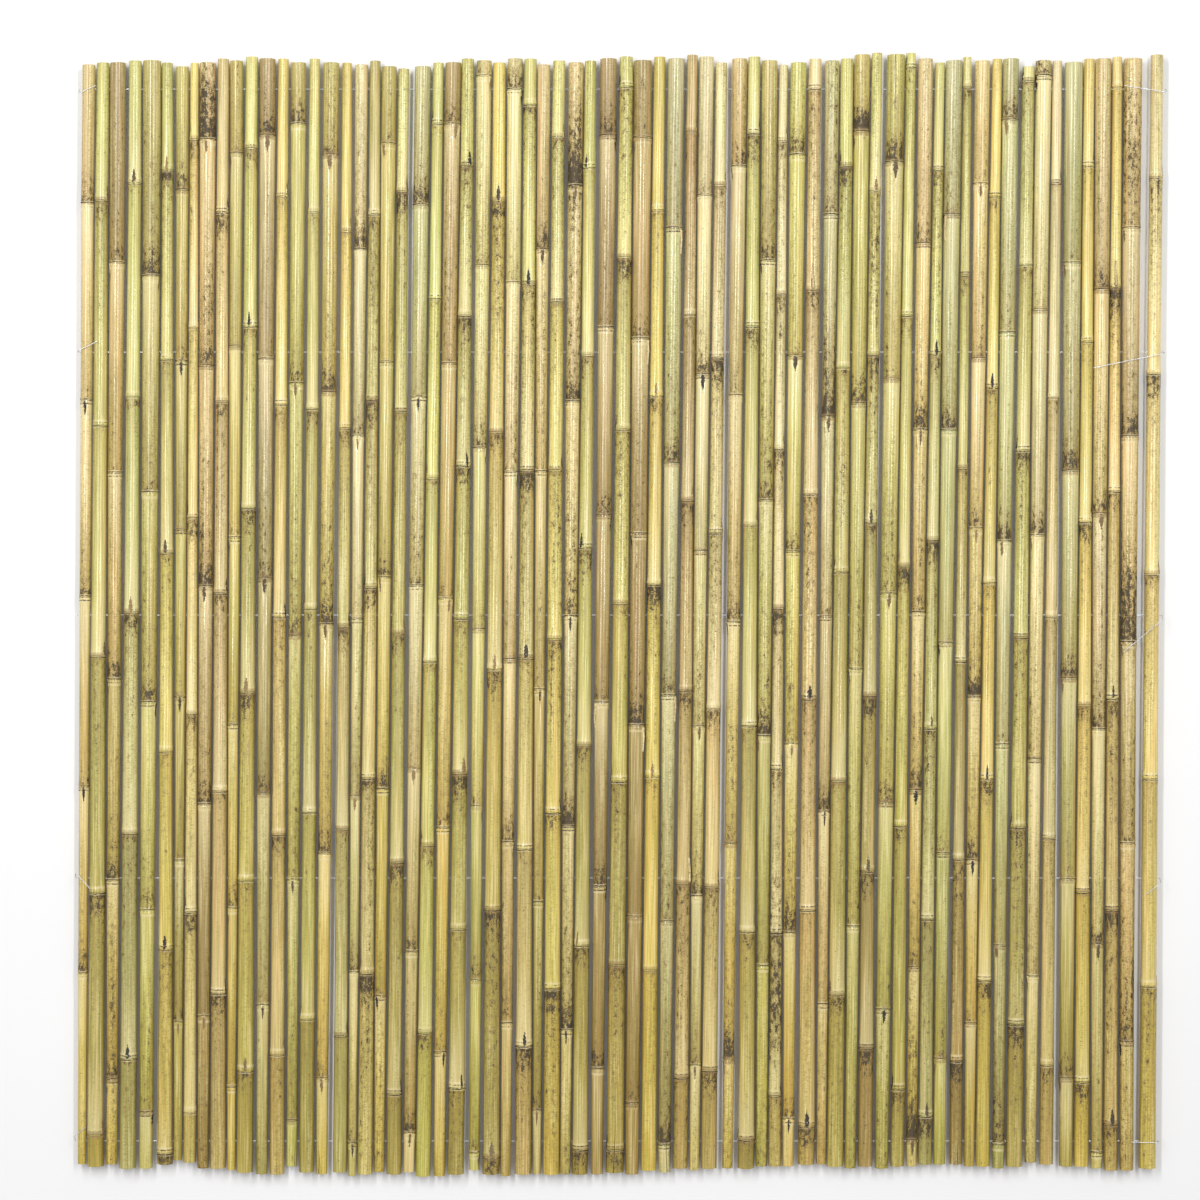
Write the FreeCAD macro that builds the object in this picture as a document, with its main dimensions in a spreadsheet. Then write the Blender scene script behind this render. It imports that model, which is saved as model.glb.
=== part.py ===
import FreeCAD, Part
import math
import os
import random

# Bamboo privacy screen: seventy garden canes threaded side by side on five
# thin galvanised wires. It lies flat with its front face up. Millimetres.
# X runs across the screen, Y along the canes with the head of the screen at
# +Y, Z up. Cane 1 is the one furthest to -X.

doc = FreeCAD.newDocument("bamboo_privacy_screen")
sheet = doc.addObject("Spreadsheet::Sheet", "Sizes")

# Driving dimensions, in millimetres unless the name says otherwise.
SIZES = [
    ("screen_height", 1800.0),
    ("grade_slim", 21.0),
    ("grade_light", 23.0),
    ("grade_middle", 24.5),
    ("grade_full", 26.0),
    ("grade_stout", 27.5),
    ("grade_heavy", 29.5),
    ("taper_per_metre", 4.0),
    ("bore_wall", 3.6),
    ("diaphragm", 4.0),
    ("first_joint_step", 25.0),
    ("shortest_joint_spacing", 230.0),
    ("joint_spacing_step", 10.0),
    ("joint_spacing_fade", 0.10),
    ("joint_wander", 7.0),
    ("ring_height", 0.9),
    ("ring_ledge", 1.6),
    ("ring_land", 2.4),
    ("ring_slope", 7.0),
    ("ragged_step", 3.2),
    ("head_reach", 13.0),
    ("foot_reach", 14.5),
    ("head_gap_step", 1.3),
    ("foot_gap_step", 1.5),
    ("first_lean", 11.0),
    ("cane_clearance", 0.3),
    ("bow_change", 0.9),
    ("kink", 0.35),
    ("lift_wander", 0.5),
    ("wire_diameter", 1.2),
    ("wire_clearance", 0.3),
    ("row_inset", 45.0),
    ("wire_rows", 5),
    ("bend_radius", 3.0),
    ("shoulder_radius", 5.0),
    ("tail_rise", 0.4),
]
for line, (alias, value) in enumerate(SIZES, start=1):
    sheet.set("A%d" % line, alias)
    sheet.set("B%d" % line, str(value))
    sheet.setAlias("B%d" % line, alias)
doc.recompute()


def size(alias):
    return float(getattr(sheet, alias))


# One letter or digit a cane, from cane 1 on the left to cane 70 on the right.
# Butt grade: a slim, b light, c middle, d full, e stout, f heavy.
GRADES = (
    "aedefcaadd" "aedcccdbac" "ccdcdecece" "aecdeffdec"
    "cdcedadebe" "dcfbcbeacb" "dedbfcdbfe"
)
# Height of the head and of the foot: a stands furthest up, each letter one
# ragged step lower.
HEADS = (
    "gffeefhffd" "ecddfdffge" "hihffdefdd" "gefedcecdb"
    "cfdcegfded" "babadfeced" "dheefddcdb"
)
FEET = (
    "cdceecabee" "fghhdghgih" "ghgiihfhih" "hhhhhghfge"
    "feeedddccd" "ededdcccdd" "edbcddeffe"
)
# Head to first joint: a is one first-joint step, each letter one step more.
FIRST_JOINTS = (
    "iimhngheej" "ffeidjfklj" "ehiddgaibc" "lehgebejke"
    "ihgemefbjg" "eigalgjbhi" "daahmgobkh"
)
# Joint to joint: a is one spacing step over the shortest spacing, and so on.
JOINT_SPACINGS = (
    "hojmkidili" "ggllqjnjfh" "knggnbfpgh" "lekigfhhnh"
    "efmjochkik" "seksfhkidi" "jhmmjglkjj"
)
# Gap to the next cane at the head and at the foot, in head or foot gap steps;
# b is eleven.
HEAD_GAPS = (
    "2142141010" "3233444421" "2732032221" "3415312331"
    "2611233511" "1603211431" "41031112b"
)
FOOT_GAPS = (
    "1223511000" "1322226111" "2213253141" "2013312221"
    "1651114201" "1212114213" "222612126"
)

CANES = len(GRADES)
GRADE_NAMES = {
    "a": "grade_slim",
    "b": "grade_light",
    "c": "grade_middle",
    "d": "grade_full",
    "e": "grade_stout",
    "f": "grade_heavy",
}

# Wire ends: how far each tail comes back over the front, how far above its
# row it starts, and how far it has risen where it is cut. Row 1 is nearest
# the head. A tail of no length is a stub bent up against the cane.
LEFT_TAILS = [
    {"over": 24.0, "start": -9.0, "end": 4.0},
    {"over": 30.0, "start": 0.0, "end": 17.0},
    {"over": 0.0, "start": 0.0, "end": 0.0},
    {"over": 21.0, "start": 12.0, "end": -16.0},
    {"over": 14.0, "start": 9.0, "end": 24.0},
]
RIGHT_TAILS = [
    {"over": 66.0, "start": -8.0, "end": 3.0},
    {"over": 112.0, "start": -3.0, "end": -27.0},
    {"over": 60.0, "start": -6.0, "end": -60.0},
    {"over": 20.0, "start": -6.0, "end": -25.0},
    {"over": 42.0, "start": 0.0, "end": 1.0},
]


def letter_number(text, cane):
    return ord(text[cane - 1]) - ord("a")


def butt_is_up(cane):
    return cane % 2 == 1


def head_y(cane):
    top = size("screen_height") / 2 + size("head_reach")
    return top - size("ragged_step") * letter_number(HEADS, cane)


def foot_y(cane):
    bottom = -size("screen_height") / 2 + size("foot_reach")
    return bottom - size("ragged_step") * letter_number(FEET, cane)


def bare_radius(cane, y):
    """Radius of the cane between its joints, thinning away from its butt."""
    if butt_is_up(cane):
        from_butt = head_y(cane) - y
    else:
        from_butt = y - foot_y(cane)
    butt = size(GRADE_NAMES[GRADES[cane - 1]])
    return butt / 2 - size("taper_per_metre") * from_butt / 1000 / 2


def joint_heights(cane):
    """Places of the joints along Y, from the head down."""
    chance = random.Random(1000 + cane)
    spacing = size("shortest_joint_spacing")
    spacing += size("joint_spacing_step") * (1 + letter_number(JOINT_SPACINGS, cane))
    room = size("ring_ledge") + size("ring_land") + size("ring_slope") + size("diaphragm")
    y = head_y(cane) - size("first_joint_step") * (1 + letter_number(FIRST_JOINTS, cane))
    last = foot_y(cane) + room
    length = head_y(cane) - foot_y(cane)
    heights = []
    while y > last:
        heights.append(y)
        towards_foot = (head_y(cane) - y) / length - 0.5
        if butt_is_up(cane):
            towards_foot = -towards_foot
        y -= spacing * (1 + size("joint_spacing_fade") * towards_foot)
        y += size("joint_wander") * (chance.random() - 0.5)
    return heights


def make_axis(cane, bow):
    """Corner points of the cane's bowed and slightly kinked centre line.

    Each point is y, then how far it stands off the straight line in x and z.
    """
    chance = random.Random(2000 + cane)
    lift = size("lift_wander") * (chance.random() - 0.5)
    points = []
    side = chance.choice((-1, 1))
    length = head_y(cane) - foot_y(cane)
    for y in [head_y(cane)] + joint_heights(cane) + [foot_y(cane)]:
        along = (head_y(cane) - y) / length
        kink = side * size("kink") * (0.4 + 0.6 * chance.random())
        side = -side
        z = lift + size("lift_wander") * (chance.random() - 0.5)
        points.append((y, bow * math.sin(math.pi * along) + kink, z))
    return points


def between(points, y, column):
    """Value of one column of a list of points at the height y."""
    for upper, lower in zip(points, points[1:]):
        if y >= lower[0]:
            share = (upper[0] - y) / (upper[0] - lower[0])
            return upper[column] + share * (lower[column] - upper[column])
    return points[-1][column]


def make_rings(cane, bow):
    """Round cross sections of the cane from head to foot: y, x, z, radius.

    At every joint the wall steps out over a short ledge on the butt side,
    runs level and slopes back on the tip side.
    """
    axis = make_axis(cane, bow)
    towards_butt = 1 if butt_is_up(cane) else -1
    places = [(head_y(cane), 0.0)]
    for y in joint_heights(cane):
        land = size("ring_land") / 2
        ledge = y + towards_butt * (land + size("ring_ledge"))
        slope = y - towards_butt * (land + size("ring_slope"))
        ring = [(ledge, 0.0), (y + towards_butt * land, 1.0),
                (y - towards_butt * land, 1.0), (slope, 0.0)]
        if not butt_is_up(cane):
            ring.reverse()
        places += ring
    places.append((foot_y(cane), 0.0))
    rings = []
    for y, raised in places:
        radius = bare_radius(cane, y) + raised * size("ring_height")
        rings.append((y, between(axis, y, 1), between(axis, y, 2), radius))
    return rings


def lay_out_canes():
    """Rings of every cane, each pushed up against the one to its left."""
    canes = []
    bow = 0.0
    head_x = 0.0
    foot_x = -size("first_lean")
    for cane in range(1, CANES + 1):
        chance = random.Random(3000 + cane)
        bow = 0.8 * bow + size("bow_change") * (2 * chance.random() - 1)
        rings = make_rings(cane, bow)
        if canes:
            before = canes[-1]
            head_gap = size("head_gap_step") * int(HEAD_GAPS[cane - 2], 16)
            foot_gap = size("foot_gap_step") * int(FOOT_GAPS[cane - 2], 16)
            head_x += before[0][3] + head_gap + rings[0][3]
            foot_x += before[-1][3] + foot_gap + rings[-1][3]
        rings = place_between(rings, head_x, foot_x)
        if canes:
            push = needed_push(canes[-1], rings)
            rings = [(y, x + push, z, radius) for y, x, z, radius in rings]
            head_x += push
            foot_x += push
        canes.append(rings)
    return canes


def place_between(rings, head_x, foot_x):
    top = rings[0][0]
    length = top - rings[-1][0]
    placed = []
    for y, x, z, radius in rings:
        lean = (foot_x - head_x) * (top - y) / length
        placed.append((y, head_x + lean + x, z, radius))
    return placed


def needed_push(left, right):
    """How far the right cane moves so that it clears the left one."""
    top = min(left[0][0], right[0][0])
    bottom = max(left[-1][0], right[-1][0])
    heights = [ring[0] for ring in left + right if bottom <= ring[0] <= top]
    push = 0.0
    for y in heights:
        reach = between(left, y, 3) + between(right, y, 3) + size("cane_clearance")
        drop = between(left, y, 2) - between(right, y, 2)
        apart = between(right, y, 1) - between(left, y, 1)
        push = max(push, math.sqrt(reach * reach - drop * drop) - apart)
    return push


# The skin's seam runs along the underside, a little to one side.
SEAM_SIDE = 0.3


def ring_wire(y, x, z, radius):
    circle = Part.Circle(FreeCAD.Vector(x, y, z), FreeCAD.Vector(0, 1, 0), radius)
    circle.XAxis = FreeCAD.Vector(SEAM_SIDE, 0, -1)
    return Part.Wire([circle.toShape()])


def cane_solid(cane, rings, drills):
    """The cane as sawn, open at both ends and drilled for the wires.

    Its skin is ruled over its rings. Each open bore runs from the sawn end
    to the first diaphragm.
    """
    cuts = list(drills)
    body = Part.makeLoft([ring_wire(*ring) for ring in rings], True, True)
    joints = joint_heights(cane)
    ends = [(rings[0], rings[1], joints[0]), (rings[-1], rings[-2], joints[-1])]
    for end, inner, joint in ends:
        outward = 1 if end[0] > inner[0] else -1
        stop = joint + outward * size("diaphragm") / 2
        share = (end[0] - stop) / (end[0] - inner[0])
        bore = []
        for part_way in (-0.02, share):
            y = end[0] + part_way * (inner[0] - end[0])
            x = end[1] + part_way * (inner[1] - end[1])
            z = end[2] + part_way * (inner[2] - end[2])
            radius = end[3] + part_way * (inner[3] - end[3]) - size("bore_wall")
            bore.append(ring_wire(y, x, z, radius))
        cuts.append(Part.makeLoft(bore, True, True))
    return body.cut(cuts)


def row_y(row):
    """Height of a wire row; the rows share the room between the insets."""
    rows = int(size("wire_rows"))
    top = size("screen_height") / 2 - size("row_inset")
    pitch = (size("screen_height") - 2 * size("row_inset")) / (rows - 1)
    return top - pitch * (row - 1)


def rounded_route(points, radii):
    """Straight runs joined by tangent arcs, one arc at each inner point."""
    edges = []
    start = points[0]
    for before, corner, after, radius in zip(points, points[1:], points[2:], radii):
        back = (before - corner).normalize()
        ahead = (after - corner).normalize()
        half_turn = (math.pi - back.getAngle(ahead)) / 2
        trim = radius * math.tan(half_turn)
        first = corner + back * trim
        last = corner + ahead * trim
        middle = (back + ahead).normalize()
        centre = corner + middle * (radius / math.cos(half_turn))
        edges.append(Part.LineSegment(start, first).toShape())
        edges.append(Part.Arc(first, centre - middle * radius, last).toShape())
        start = last
    edges.append(Part.LineSegment(start, points[-1]).toShape())
    return Part.Wire(edges)


def tail_points(canes, row, side):
    """Route of one wire end, from the outer cane's hole to the cut end.

    Side is -1 at the left edge of the screen and 1 at the right edge.
    """
    tail = (LEFT_TAILS if side < 0 else RIGHT_TAILS)[row - 1]
    ordered = canes if side < 0 else canes[::-1]
    y = row_y(row)
    outer = ordered[0]
    radius = between(outer, y, 3)
    edge = between(outer, y, 1) + side * radius
    turn_x = edge + side * (size("bend_radius") + size("wire_diameter"))
    if tail["over"] == 0:
        stub = size("bend_radius") * 2
        return [FreeCAD.Vector(turn_x, y, 0), FreeCAD.Vector(turn_x, y, stub)], [size("bend_radius")]
    reach = edge - side * tail["over"]
    crossed = [rings for rings in ordered
               if side * (between(rings, y, 1) + side * between(rings, y, 3) - reach) > 0]
    lows = min(0.0, tail["start"], tail["end"])
    highs = max(0.0, tail["start"], tail["end"])
    top = 0.0
    for rings in crossed:
        heights = [y + lows, y + highs, y]
        heights += [ring[0] for ring in rings if y + lows <= ring[0] <= y + highs]
        for height in heights:
            top = max(top, between(rings, height, 2) + between(rings, height, 3))
    top += size("wire_diameter") / 2 + size("tail_rise")
    return [
        FreeCAD.Vector(turn_x, y, 0),
        FreeCAD.Vector(turn_x, y + tail["start"], top),
        FreeCAD.Vector(reach, y + tail["end"], top),
    ], [size("bend_radius"), size("shoulder_radius")]


def wire_route(canes, row):
    left, left_radii = tail_points(canes, row, -1)
    right, right_radii = tail_points(canes, row, 1)
    return rounded_route(left[::-1] + right, left_radii[::-1] + right_radii)


canes = lay_out_canes()

# The drills for the wire holes run straight across all the canes.
left_edge = min(ring[1] - ring[3] for ring in canes[0])
right_edge = max(ring[1] + ring[3] for ring in canes[-1])
DRILL_OVERRUN = 20.0
drills = []
for row in range(1, int(size("wire_rows")) + 1):
    drill = doc.addObject("Part::Cylinder", "Drill_%d" % row)
    drill.setExpression("Radius", "Sizes.wire_diameter / 2 + Sizes.wire_clearance")
    drill.Height = right_edge - left_edge + 2 * DRILL_OVERRUN
    drill.Placement = FreeCAD.Placement(
        FreeCAD.Vector(left_edge - DRILL_OVERRUN, 0, 0),
        FreeCAD.Rotation(FreeCAD.Vector(0, 1, 0), 90))
    drill.setExpression(
        "Placement.Base.y",
        "Sizes.screen_height / 2 - Sizes.row_inset"
        " - (Sizes.screen_height - 2 * Sizes.row_inset) / (Sizes.wire_rows - 1) * %d" % (row - 1))
    drills.append(drill)
doc.recompute()
drill_shapes = [drill.Shape for drill in drills]

# Canes, two neighbours to a sub-part.
sub_parts = []
for first in range(1, CANES + 1, 2):
    pair = [cane_solid(cane, canes[cane - 1], drill_shapes) for cane in (first, first + 1)]
    canes_part = doc.addObject("Part::Feature", "Canes_%02d" % first)
    canes_part.Label = "canes_%02d_%02d" % (first, first + 1)
    canes_part.Shape = Part.makeCompound(pair)
    sub_parts.append(canes_part)

# Wires, one to a row, swept along their routes.
for row in range(1, int(size("wire_rows")) + 1):
    route = doc.addObject("Part::Feature", "Route_%d" % row)
    route.Label = "route_%d" % row
    route.Shape = wire_route(canes, row)
    start = route.Shape.OrderedVertexes[0].Point
    heading = (route.Shape.OrderedVertexes[1].Point - start).normalize()
    section = doc.addObject("Part::Circle", "Section_%d" % row)
    section.setExpression("Radius", "Sizes.wire_diameter / 2")
    section.Placement = FreeCAD.Placement(
        start, FreeCAD.Rotation(FreeCAD.Vector(0, 0, 1), heading))
    wire = doc.addObject("Part::Sweep", "Wire_%d" % row)
    wire.Label = "wire_%d" % row
    wire.Sections = [section]
    wire.Spine = (route, ["Edge%d" % (number + 1) for number in range(len(route.Shape.Edges))])
    wire.Solid = True
    wire.Frenet = False
    sub_parts.append(wire)

doc.recompute()

# Set the screen down on its lowest cane, centred over the origin.
boxes = [part.Shape.optimalBoundingBox(False, False) for part in sub_parts]
middle_x = (min(box.XMin for box in boxes) + max(box.XMax for box in boxes)) / 2
middle_y = (min(box.YMin for box in boxes) + max(box.YMax for box in boxes)) / 2
lowest = min(box.ZMin for box in boxes)
for part in sub_parts:
    base = part.Placement.Base - FreeCAD.Vector(middle_x, middle_y, lowest)
    part.Placement = FreeCAD.Placement(base, part.Placement.Rotation)
doc.recompute()

for item in doc.Objects:
    if "Invalid" in item.State or "Error" in item.State:
        raise RuntimeError("%s did not rebuild: %s" % (item.Label, item.State))
for part in sub_parts:
    if part.Shape.isNull() or not part.Shape.isValid():
        raise RuntimeError("%s has no valid shape" % part.Label)

os.makedirs("parts", exist_ok=True)
for part in sub_parts:
    part.Shape.exportStep("parts/%s.step" % part.Label)
    print(part.Label, len(part.Shape.Solids), "solids, volume %.0f" % part.Shape.Volume)
print("width %.1f" % (right_edge - left_edge), "lowest %.2f" % lowest)
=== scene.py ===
import math
import random

import bpy
import numpy as np
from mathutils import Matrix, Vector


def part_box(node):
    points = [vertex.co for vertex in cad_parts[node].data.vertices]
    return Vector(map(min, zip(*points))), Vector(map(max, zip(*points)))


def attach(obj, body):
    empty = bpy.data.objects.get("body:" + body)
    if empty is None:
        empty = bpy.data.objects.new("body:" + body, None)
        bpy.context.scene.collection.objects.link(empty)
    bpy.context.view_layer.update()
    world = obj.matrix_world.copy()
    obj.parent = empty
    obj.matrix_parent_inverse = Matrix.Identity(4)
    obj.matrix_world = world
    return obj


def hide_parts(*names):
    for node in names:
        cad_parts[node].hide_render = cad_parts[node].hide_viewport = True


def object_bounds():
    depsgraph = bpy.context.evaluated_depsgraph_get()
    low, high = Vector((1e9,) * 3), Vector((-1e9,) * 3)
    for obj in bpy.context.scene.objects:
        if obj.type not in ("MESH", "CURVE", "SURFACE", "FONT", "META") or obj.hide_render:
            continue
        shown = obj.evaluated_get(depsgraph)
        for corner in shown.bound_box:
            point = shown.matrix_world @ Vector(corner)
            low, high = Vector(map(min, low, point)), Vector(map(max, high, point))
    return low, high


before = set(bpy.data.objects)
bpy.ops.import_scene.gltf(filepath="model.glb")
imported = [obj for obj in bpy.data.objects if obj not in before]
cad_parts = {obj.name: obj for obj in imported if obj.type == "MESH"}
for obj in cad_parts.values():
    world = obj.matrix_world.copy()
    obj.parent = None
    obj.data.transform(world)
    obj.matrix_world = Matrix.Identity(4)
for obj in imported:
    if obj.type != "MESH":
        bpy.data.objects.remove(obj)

CAD_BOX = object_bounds()

# What each cane looks like, one letter or digit a cane from left to right.
# Skin tone near the head and near the foot: s straw, t tan, y golden, g yellow
# green, o olive, k grey green, b brown.
HEAD_TONES = (
    "tgbgogoytt" "ogbyogoyso" "ogkgbgsysg" "tgtgbgbykb"
    "sstgosgtkg" "ogogtgkgty" "kgsskytyts"
)
FOOT_TONES = (
    "yoykgyosbt" "yoktgoykss" "yotgyogott" "oysobobykt"
    "styogsytto" "gbgoykgbyy" "kostoystty"
)
# Mould and weather stains, from 0 for a clean cane to 3 for a dirty one.
STAINS = (
    "1121211131" "1121212112" "2211221222" "2231122022"
    "1221232232" "2221221221" "2211112232"
)
# Where the bud of the first joint from the head looks: f front, m front left,
# n front right, l left, r right, b back. Buds change sides at every joint.
BUD_SIDES = (
    "brlfrfblfr" "lbfrblfrbl" "mrblnnrfrb" "frfmrllbrr"
    "brlrlrbbbl" "lfflbblrfb" "mllrlrbblr"
)
BUD_ANGLES = {"f": 0, "m": -35, "n": 35, "l": -72, "r": 72, "b": 180}

# Skin tones as screen colours, red, green and blue from 0 to 255.
TONES = {
    "s": (238, 223, 170),
    "t": (230, 205, 152),
    "y": (238, 214, 128),
    "g": (220, 214, 136),
    "o": (206, 191, 117),
    "k": (208, 203, 152),
    "b": (194, 168, 117),
}

# Darker stretches of single canes: cane, from, to in metres along Y, strength.
DARK_STRETCHES = [
    (9, 0.772, 0.872, 1.5),
    (9, 0.450, 0.510, 1.1),
    (33, 0.660, 0.810, 1.1),
    (46, -0.715, -0.560, 1.7),
    (46, -0.550, -0.390, 1.0),
    (49, 0.300, 0.480, 1.0),
    (50, 0.150, 0.260, 0.8),
    (51, 0.775, 0.815, 1.3),
    (52, 0.440, 0.660, 1.0),
    (65, 0.330, 0.560, 0.5),
    (69, -0.055, 0.110, 1.7),
    (69, 0.680, 0.850, 0.9),
]
# Joints that kept a stub of a cut twig: cane and joint number from the head.
TWIG_STUBS = [(35, 4), (37, 2), (37, 4), (39, 1), (39, 3), (40, 5), (48, 2), (57, 1), (68, 2)]
# Furthest that a stub turns from the front, in radians, and how far past its joint
# and over the skin it springs.
STUB_TURN = 0.96
STUB_PAST_JOINT = 0.003
STUB_STAND = 0.0004

# Splits that run in from a sawn end: cane, end, length in metres, degrees from the front.
SPLITS = [
    (15, "foot", 0.045, 42),
    (17, "foot", 0.050, -25),
    (36, "foot", 0.165, -4),
    (39, "foot", 0.070, 18),
    (53, "head", 0.095, -10),
    (58, "foot", 0.040, 12),
]
SPLIT_WIDTH = 0.0012
SPLIT_DEPTH = 0.0028

# Share of red, green and blue taken off the skin tone towards the foot of the screen, which grows
# darker and yellower there.
FOOT_LOSS = (0.22, 0.27, 0.60)
# How much further round its side the painted shade on a cane's flanks starts at the head than at the
# foot.
FLANK_SHADE_HEAD_OFFSET = 0.15
# Stains at the head of a clean cane, and what each step of STAINS, the foot and chance add.
STAIN_LEAST = 0.16
STAIN_STEP = 0.30
STAIN_FOOT = 0.30
STAIN_CHANCE = 0.9
STAIN_MOST = 4.0
# Length over which the end of a darker stretch fades.
STRETCH_FADE = 0.030
# How far apart the canes lie in the grain's pattern, so that no two look alike.
GRAIN_STEP = 3.7

CANES = len(HEAD_TONES)
AROUND = 32
SEAM_GAP = 1e-5
SMOOTH_DEGREES = 38

# Profile of a joint along the cane in millimetres, from its butt side to its
# tip side, and the height of the skin there over the bare cane.
JOINT_PROFILE = [
    (-28.0, 0.0), (-15.0, 0.02), (-8.5, 0.12), (-4.6, 0.34), (-2.9, 0.60), (-1.9, 0.95),
    (-1.0, 0.82), (-0.5, 0.12), (0.9, 0.10), (2.5, 0.74), (4.3, 0.84), (7.2, 0.44),
    (11.5, 0.14), (19.0, 0.02), (30.0, 0.0),
]
BUTT_REACH = -JOINT_PROFILE[0][0] / 1000
TIP_REACH = JOINT_PROFILE[-1][0] / 1000
# Within this of the scar line a joint keeps its profile where its ends are squeezed.
JOINT_CORE = 0.0115
# Width of the level ring at a joint of the frame's canes.
RING_LAND = 0.0024
# Height over the bare cane that a master shows as one whole radius.
HEIGHT_UNIT = 0.012
# How far past the sawn butt and the sawn tip the next joints would have grown.
LOST_BUTT_JOINT = 0.12
LOST_TIP_JOINT = 0.15
BORE_WALL = 0.0036
END_LENGTH = 0.002
DIAPHRAGM = 0.004
WIRE_RADIUS = 0.0006
HOLE_RADIUS = 0.0009
DRILL_LENGTH = 0.06
ROW_REACH = 0.01
# Groove above a bud, oval section and waist between the joints.
GROOVE_DEPTH = 0.0008
GROOVE_LENGTH = 0.095
GROOVE_HALF_ANGLE = 0.34
GROOVE_RISE = 0.012
GROOVE_STOP = 0.03
OVALNESS = 0.00012
WAIST = 0.00015
WAIST_RISE = 0.05
# The scar line of a joint dips by this much under its bud, over this turn and length.
SCAR_DIP = 0.0022
SCAR_DIP_TURN = 0.5
SCAR_DIP_REACH = 0.006
SCAR_TILT = 0.0004


def srgb(red, green, blue):
    """Screen colour 0 to 255 as the linear colour that a shader takes."""
    linear = []
    for part in (red, green, blue):
        part = part / 255
        linear.append(part / 12.92 if part <= 0.04045 else ((part + 0.055) / 1.055) ** 2.4)
    return (*linear, 1.0)


def chance_for(cane, purpose):
    """Seeded chance of one cane, apart for each purpose that draws from it."""
    return random.Random(1000 * purpose + cane)


# Reading the canes off the frame.

MICRONS = 1e6
# A ring has at least so many points, none this many radians from the next.
RING_POINTS = 32
RING_WIDEST_GAP = 0.3
RING_OUTER_SHARE = 0.9
SAME_HEIGHT = 1e-4
# A ring of the bore is this much smaller than one near it, a joint's this much larger.
BORE_REACH = 0.012
BORE_STEP = 0.0022
JOINT_STEP = 0.0005


def mesh_points(mesh):
    points = np.empty(len(mesh.vertices) * 3)
    mesh.vertices.foreach_get("co", points)
    return points.reshape(-1, 3)


def separate_solids(node):
    """Points of each separate solid in a CAD node, leftmost solid first."""
    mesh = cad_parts[node].data
    keys = np.round(mesh_points(mesh) * MICRONS).astype(np.int64)
    unique, shared = np.unique(keys, axis=0, return_inverse=True)
    corners = np.empty(len(mesh.loops), dtype=np.int64)
    mesh.loops.foreach_get("vertex_index", corners)
    triangles = shared.reshape(-1)[corners].reshape(-1, 3)
    label = np.arange(len(unique))
    while True:
        lowest = label[triangles].min(axis=1)
        joined = label.copy()
        np.minimum.at(joined, triangles.reshape(-1), np.repeat(lowest, 3))
        joined = joined[joined]
        if (joined == label).all():
            break
        label = joined
    solids = [unique[label == mark] / MICRONS for mark in np.unique(label)]
    return sorted(solids, key=lambda points: points[:, 0].mean())


def fit_circle(points):
    """Centre x, centre z and radius of the circle through points of one ring."""
    x = points[:, 0]
    z = points[:, 2]
    matrix = np.column_stack([2 * x, 2 * z, np.ones(len(x))])
    answer = np.linalg.lstsq(matrix, x * x + z * z, rcond=None)[0]
    return answer[0], answer[1], math.sqrt(answer[2] + answer[0] ** 2 + answer[1] ** 2)


def read_rings(points):
    """Outer rings of one cane from foot to head, without the bores': y, x, z, radius."""
    heights = np.round(points[:, 1] * 1e5).astype(np.int64)
    levels, counts = np.unique(heights, return_counts=True)
    rings = []
    for height in levels[counts >= RING_POINTS]:
        ring = points[np.abs(heights - height) <= 1]
        middle = (ring.min(axis=0) + ring.max(axis=0)) / 2
        reach = np.hypot(ring[:, 0] - middle[0], ring[:, 2] - middle[2])
        ring = ring[reach > RING_OUTER_SHARE * reach.max()]
        x, z, radius = fit_circle(ring)
        turns = np.sort(np.arctan2(ring[:, 0] - x, ring[:, 2] - z))
        if np.diff(turns, append=turns[0] + 2 * math.pi).max() < RING_WIDEST_GAP:
            rings.append((ring[:, 1].mean(), x, z, radius))
    kept = []
    for ring in rings:
        near = [other[3] for other in rings if abs(other[0] - ring[0]) < BORE_REACH]
        repeated = kept and ring[0] - kept[-1][0] < SAME_HEIGHT
        if ring[3] > max(near) - BORE_STEP and not repeated:
            kept.append(ring)
    return np.array(kept)


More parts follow.
